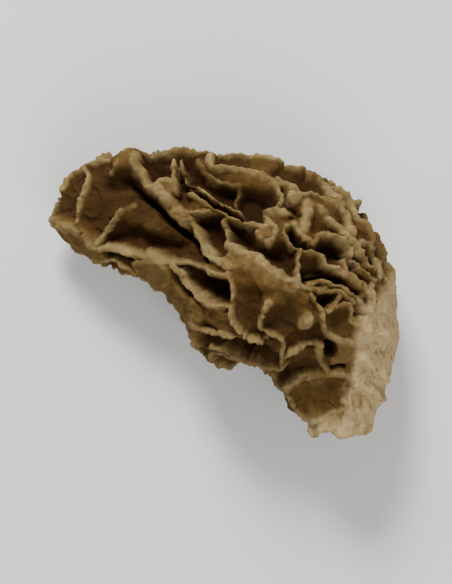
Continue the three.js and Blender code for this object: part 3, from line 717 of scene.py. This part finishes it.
def keep_wall(points):
    """Points pushed away from the hollow's middle, until the least wall is left round it."""
    x, y = points[:, 0] - ARC_CENTRE[0], points[:, 1] - ARC_CENTRE[1]
    angle = np.degrees(np.arctan2(y, x))
    shift, half_width, half_height = hollow_size(angle)
    side = np.hypot(x, y) - ARC_RADIUS - shift
    rise = points[:, 2] - beside_arc(angle, 0, 0)[:, 2]
    away = np.hypot(side / (half_width + LEAST_WALL), rise / (half_height + LEAST_WALL))
    beside_hollow = angle < HOLLOW_TIP_ANGLE + HOLLOW_MARGIN_ANGLE
    push = np.where(beside_hollow, 1 / np.clip(away, LEAST_AWAY, 1), 1)
    return beside_arc(angle, shift + side * push, rise * push)


def relief(points, normals, strength):
    """The skin with its ridges and pits: sunk to the pits' floors, away from the ridges.

    The points are warped a little before the ridges are looked up, so that ridges run crooked.
    Crests sag, wander and are crumbly, and floors are puckered. Strength fades it all."""
    warp = np.stack([noise(points, 3.2, seed) for seed in (1, 2, 3)], axis=-1)
    fine_warp = np.stack([noise(points, 0.8, seed) for seed in (4, 5, 6)], axis=-1)
    warped = points + WARP * warp + FINE_WARP * fine_warp
    change = THICKNESS_CHANGE * noise(points, 2.3, 17)
    fine_change = FINE_THICKNESS_CHANGE * noise(points, 0.9, 20)
    stretch = THICKNESS + change + fine_change
    height, lip = ridge_field(warped, np.maximum(stretch, LEAST_THICKNESS))
    stands = height * (1 - CREST_SAG * (1 + noise(points, 2.8, 14)))
    floor = (1 - stands) * strength
    cleft = band_field(warped, clefts, CLEFT_STEEPNESS) * strength
    depth = np.maximum(DEEPENING * pit_depth(points) * floor, cleft)
    pucker = PUCKER * folds(points, 3.2, 7) + FINE_PUCKER * folds(points, 1.2, 15)
    pucker = pucker + FLOOR_SWELL * noise(points, 2.2, 8)
    crumble = CREST_CRUMBLE * (noise(points, 1.2, 9) + noise(points, 0.6, 10))
    rise = floor * pucker + height * crumble * strength - depth
    moved = CREST_WANDER * wander(points) * (height * strength)[:, None] + lip * strength[:, None]
    return points + moved + normals * rise[:, None], height, depth


def cut_edge(angle, turns):
    """How far the ragged cut strays along the arc, and how much of that a row near it takes."""
    ragged = sum(swing * np.sin(count * turns + phase) for swing, count, phase in CUT_WAVES)
    return ragged, ease(angle, CUT_FADE_ANGLE, STEM_FOOT_ANGLE)


def outer_skin(turn):
    """The rows from the tip to the stem's foot: points, ridge height, depth and share of stem.

    A point's strength is how much of the net it has. On the stem, where it is 0, the skin has
    wrinkles instead, and long furrows on the outside of the bend. Nothing lies below the table."""
    polar = np.linspace(0, np.arccos(CAP_END), CAP_ROWS + 1)[1:]
    cap_angle = CAP_MIDDLE_ANGLE + CAP_HALF_ANGLE * np.cos(polar)
    stem_angle = np.linspace(cap_angle[-1], STEM_FOOT_ANGLE + CUT_INSET_ANGLE, STEM_ROWS + 1)[1:]
    angle, turns = np.meshgrid(np.concatenate([cap_angle, stem_angle]), turn, indexing="ij")
    ragged, near_foot = cut_edge(angle, turns)
    angle = angle + ragged * near_foot
    bare = bare_skin(angle, turns)
    points = bare.reshape(-1, 3)
    normals = grid_normals(bare).reshape(-1, 3)
    angle = angle.ravel()
    outside = np.cos(turns.ravel())
    net_edge = mix(*NET_EDGE_ANGLE, ease(outside, *NET_EDGE_SLANT)) + noise(points, 3.0, 18)
    strength = ease(angle, net_edge - NET_FADE_BELOW, net_edge + NET_FADE_ABOVE)
    outer, height, depth = relief(points, normals, strength)
    stem = 1 - strength
    wrinkle = STEM_WRINKLE * folds(points * ALONG_FOLDS, 1.5, 11)
    wrinkle = wrinkle + STEM_FINE_WRINKLE * noise(points, 0.9, 12)
    furrow = STEM_FURROW * noise(points * ALONG_FURROWS, 3.4, 19) - STEM_FURROW_DEPTH
    furrow = furrow * ease(angle, *STEM_FURROW_FADE) * ease(outside, *NET_EDGE_SLANT)
    raised = wrinkle + furrow + band_field(points, stem_folds, FOLD_STEEPNESS)
    outer = keep_wall(outer + normals * (raised * stem)[:, None])
    outer[:, 2] = np.maximum(outer[:, 2], 0)
    return outer.reshape(-1, COLUMNS, 3), height, depth, stem


def inner_skin(turn):
    """The rows of the bore and the hollow, from the foot to the blind end: a little uneven."""
    share = np.linspace(0, 1, HOLLOW_ROWS) ** HOLLOW_CROWDING
    angle, turns = np.meshgrid(mix(STEM_FOOT_ANGLE, HOLLOW_TIP_ANGLE, share), turn, indexing="ij")
    ragged, near_foot = cut_edge(angle, turns)
    inner = hollow_rows(angle + (ragged + CUT_INSET_ANGLE) * near_foot, turns)
    return inner + HOLLOW_UNEVENNESS * noise(inner, 1.8, 13)[..., None]


def skin():
    """All rows of the skin, as points and the values that its colours follow.

    Rows run tip, cap, stem, lip, bore and hollow. The lip is half an ellipse from the last outer
    row to the first inner one, and bulges out of the cut."""
    turn = column_turns()
    outer, height, depth, stem = outer_skin(turn)
    inner = inner_skin(turn)
    bend = np.linspace(0, np.pi, LIP_ROWS + 2)[1:-1, None, None]
    middle = (outer[-1] + inner[0]) / 2
    bulge = np.array([0, -CUT_BULGE, 0])
    lip = middle + (outer[-1] - middle) * np.cos(bend) + bulge * np.sin(bend)

    def rows(values, fill):
        whole = np.full((len(outer) + LIP_ROWS + len(inner), COLUMNS), fill, dtype=float)
        whole[:len(outer)] = values.reshape(-1, COLUMNS)
        return whole

    points = np.concatenate([outer, lip, inner])
    lining = np.zeros(points.shape[:2])
    lining[len(outer) + LIP_ROWS // 2:] = 1
    return points, rows(height, 1.0), rows(depth, 0.0), rows(stem, 1.0), lining


def closed_grid(name, rows):
    """A mesh of rows of points, each a closed loop, with the first and last drawn to a point."""
    count, columns = rows.shape[:2]
    points = np.concatenate([rows.reshape(-1, 3), rows[[0, -1]].mean(axis=1)])
    near = np.arange(count - 1)[:, None] * columns + np.arange(columns)
    beside = np.arange(count - 1)[:, None] * columns + (np.arange(columns) + 1) % columns
    quads = np.stack([near, beside, beside + columns, near + columns], axis=-1).reshape(-1, 4)
    first = np.arange(columns)
    second = (first + 1) % columns
    last_row = (count - 1) * columns
    tip_point = np.full(columns, count * columns)
    tip = np.stack([second, first, tip_point], axis=-1)
    end = np.stack([first + last_row, second + last_row, tip_point + 1], axis=-1)
    mesh = bpy.data.meshes.new(name)
    mesh.from_pydata((points * MM).tolist(), [], quads.tolist() + tip.tolist() + end.tolist())
    return mesh


def add_values(mesh, name, rows):
    """A value for each point of the mesh, for its material to read; the two ends take the mean."""
    values = np.concatenate([rows.ravel(), rows[[0, -1]].mean(axis=1)])
    mesh.attributes.new(name, "FLOAT", "POINT").data.foreach_set("value", values)


def thinned(mesh, triangles):
    """The mesh with its edges collapsed, the flattest first, until so many triangles are left."""
    fine = bpy.data.objects.new("fine", mesh)
    bpy.context.scene.collection.objects.link(fine)
    collapse = fine.modifiers.new("thin", "DECIMATE")
    collapse.ratio = triangles / sum(len(face.vertices) - 2 for face in mesh.polygons)
    settled = fine.evaluated_get(bpy.context.evaluated_depsgraph_get())
    result = bpy.data.meshes.new_from_object(settled)
    bpy.data.objects.remove(fine)
    bpy.data.meshes.remove(mesh)
    result.polygons.foreach_set("use_smooth", np.ones(len(result.polygons), dtype=bool))
    return result


# Dried flesh: dull and leathery. The crests are pale tan and rubbed, the walls brown, and the pits
# darker with depth, partly their own darker flesh and partly painted shade. The stem is creamier, and
# the lining of the hollow is pale and mealy.
STRAW = (0.38, 0.268, 0.098, 1)
PALE_TAN = (0.24, 0.17, 0.071, 1)
TAN = (0.155, 0.096, 0.032, 1)
OCHRE = (0.1, 0.055, 0.0145, 1)
BROWN = (0.056, 0.028, 0.0075, 1)
DARK_BROWN = (0.042, 0.019, 0.0055, 1)
BLACK_BROWN = (0.025, 0.0105, 0.003, 1)
CREAM = (0.46, 0.335, 0.165, 1)
LINING = (0.37, 0.26, 0.12, 1)
NONE = (0, 0, 0, 1)
FULL = (1, 1, 1, 1)
DARKEST_DEPTH = 4.2
PATCH_SIZE = 5.0
PATCH_STRENGTH = 0.7
MOTTLE_SIZE = 2.2
MOTTLE_STRENGTH = 0.5
SPECKLE_SIZE = 0.35
SPECKLE_STRENGTH = 0.3
STREAK_SIZE = 0.8
WEAR = 0.3
WRINKLE_SIZE = 0.5
GRIT_SIZE = 0.16
GRIT_SHARE = 0.4
BUMP_HEIGHT = 0.4
BUMP_STRENGTH = 0.7
DULLNESS = 0.8
SHEEN = 0.06

# The mix node's colour sockets, by number, because its sockets for numbers have the same names.
MIX_FIRST_COLOUR = 6
MIX_COLOUR_OUT = 2


def dried_flesh():
    """The one material: dark by depth, partly its own colour and partly painted shade; pale where a
    crest stands; mottled and grained by noise.

    It reads the skin's values crest, depth, stem and lining, and noise on Object coordinates."""
    material = bpy.data.materials.new("dried_flesh")
    material.use_nodes = True
    nodes, links = material.node_tree.nodes, material.node_tree.links
    shader = nodes["Principled BSDF"]
    place = nodes.new("ShaderNodeTexCoord")

    def value(name):
        node = nodes.new("ShaderNodeAttribute")
        node.attribute_name = name
        return node.outputs["Fac"]

    def grain(size_mm, detail=4.0, roughness=0.6):
        node = nodes.new("ShaderNodeTexNoise")
        node.inputs["Scale"].default_value = 1 / (size_mm * MM)
        node.inputs["Detail"].default_value = detail
        node.inputs["Roughness"].default_value = roughness
        links.new(place.outputs["Object"], node.inputs["Vector"])
        return node.outputs["Fac"]

    def maths(operation, first, second, clamp=False):
        node = nodes.new("ShaderNodeMath")
        node.operation = operation
        node.use_clamp = clamp
        for socket, given in zip(node.inputs, (first, second)):
            if isinstance(given, (int, float)):
                socket.default_value = given
            else:
                links.new(given, socket)
        return node.outputs["Value"]

    def swing(size_mm, strength, detail=4.0):
        """Noise that swings about 0 instead of a half, by a strength."""
        return maths("MULTIPLY", maths("SUBTRACT", grain(size_mm, detail), 0.5), strength)

    def blend(share, first, second):
        node = nodes.new("ShaderNodeMix")
        node.data_type = "RGBA"
        links.new(share, node.inputs["Factor"])
        links.new(first, node.inputs[MIX_FIRST_COLOUR])
        links.new(second, node.inputs[MIX_FIRST_COLOUR + 1])
        return node.outputs[MIX_COLOUR_OUT]

    def ramp(share, stops):
        node = nodes.new("ShaderNodeValToRGB")
        links.new(share, node.inputs["Fac"])
        elements = node.color_ramp.elements
        while len(elements) < len(stops):
            elements.new(0.5)
        for element, (position, colour) in zip(elements, stops):
            element.position = position
            element.color = colour
        return node.outputs["Color"]

    mottle = swing(MOTTLE_SIZE, MOTTLE_STRENGTH)
    speckle = swing(SPECKLE_SIZE, SPECKLE_STRENGTH, 3)
    patches = swing(PATCH_SIZE, PATCH_STRENGTH, 2)
    unevenness = maths("ADD", mottle, speckle)
    # The pits darken with depth down to near black: partly the flesh's own darker colour, partly painted
    # shade.
    pit_darkness_and_shade = maths("ADD", maths("DIVIDE", value("depth"), DARKEST_DEPTH), unevenness, clamp=True)
    pit = ramp(pit_darkness_and_shade, [(0.08, TAN), (0.2, OCHRE), (0.42, BROWN), (0.8, DARK_BROWN),
                         (1.0, BLACK_BROWN)])
    rubbed = maths("ADD", maths("ADD", value("crest"), unevenness), patches, clamp=True)
    worn = maths("ADD", maths("ADD", unevenness, patches), WEAR, clamp=True)
    crest = ramp(worn, [(0.14, TAN), (0.38, PALE_TAN), (0.52, STRAW)])
    cap = blend(ramp(rubbed, [(0.34, NONE), (0.8, FULL)]), pit, crest)
    streak = maths("ADD", grain(STREAK_SIZE, 5), mottle, clamp=True)
    stem = ramp(streak, [(0.2, TAN), (0.5, CREAM)])
    lining = ramp(streak, [(0.25, TAN), (0.6, LINING)])
    colour = blend(value("lining"), blend(value("stem"), cap, stem), lining)
    links.new(colour, shader.inputs["Base Color"])
    shader.inputs["Roughness"].default_value = DULLNESS
    shader.inputs["Specular IOR Level"].default_value = SHEEN

    bump = nodes.new("ShaderNodeBump")
    bump.inputs["Strength"].default_value = BUMP_STRENGTH
    bump.inputs["Distance"].default_value = BUMP_HEIGHT * MM
    grit = maths("MULTIPLY", grain(GRIT_SIZE, 3), GRIT_SHARE)
    links.new(maths("ADD", grain(WRINKLE_SIZE, 6, 0.7), grit), bump.inputs["Height"])
    links.new(bump.outputs["Normal"], shader.inputs["Normal"])
    return material


skin_points, *skin_values = skin()
mesh = closed_grid("morel_flesh", skin_points)
for name, values in zip(("crest", "depth", "stem", "lining"), skin_values):
    add_values(mesh, name, values)
mesh = thinned(mesh, SKIN_TRIANGLES)
mesh.name = "morel_flesh"
morel = bpy.data.objects.new("morel_flesh", mesh)
bpy.context.scene.collection.objects.link(morel)
mesh.materials.append(dried_flesh())
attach(morel, "root")
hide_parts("morel")


# The table that it lies on: a plain pale sheet, wide enough for every view.
FLOOR_HALF_SIDE = 2.0
FLOOR_DROP = 0.02 * MM
FLOOR_COLOUR = (0.80, 0.80, 0.79, 1)
FLOOR_ROUGHNESS = 0.9

floor_mesh = bpy.data.meshes.new("floor")
corners = [(x * FLOOR_HALF_SIDE, y * FLOOR_HALF_SIDE, -FLOOR_DROP)
           for x, y in ((-1, -1), (1, -1), (1, 1), (-1, 1))]
floor_mesh.from_pydata(corners, [], [(0, 1, 2, 3)])
floor = bpy.data.objects.new("floor", floor_mesh)
bpy.context.scene.collection.objects.link(floor)
floor_material = bpy.data.materials.new("floor")
floor_material.use_nodes = True
floor_shader = floor_material.node_tree.nodes["Principled BSDF"]
floor_shader.inputs["Base Color"].default_value = FLOOR_COLOUR
floor_shader.inputs["Roughness"].default_value = FLOOR_ROUGHNESS
floor_mesh.materials.append(floor_material)


# Studio light: a soft lamp above the top left, a broader weaker one from the foot's side, and a
# dim pale room round them. A lamp has its place, the side of its square and its power in watts.
KEY_LAMP = ((-0.10, 0.42, 0.34), 0.16, 4.5)
FILL_LAMP = ((0.16, -0.40, 0.34), 0.40, 2.1)
ROOM_COLOUR = (1.0, 0.99, 0.97, 1)
ROOM_STRENGTH = 0.35


def lamp(name, place, size, power):
    """A square lamp at a place, aimed at the mushroom."""
    data = bpy.data.lights.new(name, "AREA")
    data.size = size
    data.energy = power
    lamp_object = bpy.data.objects.new(name, data)
    lamp_object.location = place
    lamp_object.rotation_euler = (-Vector(place)).to_track_quat("-Z", "Y").to_euler()
    bpy.context.scene.collection.objects.link(lamp_object)


lamp("key_lamp", *KEY_LAMP)
lamp("fill_lamp", *FILL_LAMP)
room = bpy.data.worlds.new("room")
room.use_nodes = True
room_light = room.node_tree.nodes["Background"]
room_light.inputs["Color"].default_value = ROOM_COLOUR
room_light.inputs["Strength"].default_value = ROOM_STRENGTH
bpy.context.scene.world = room
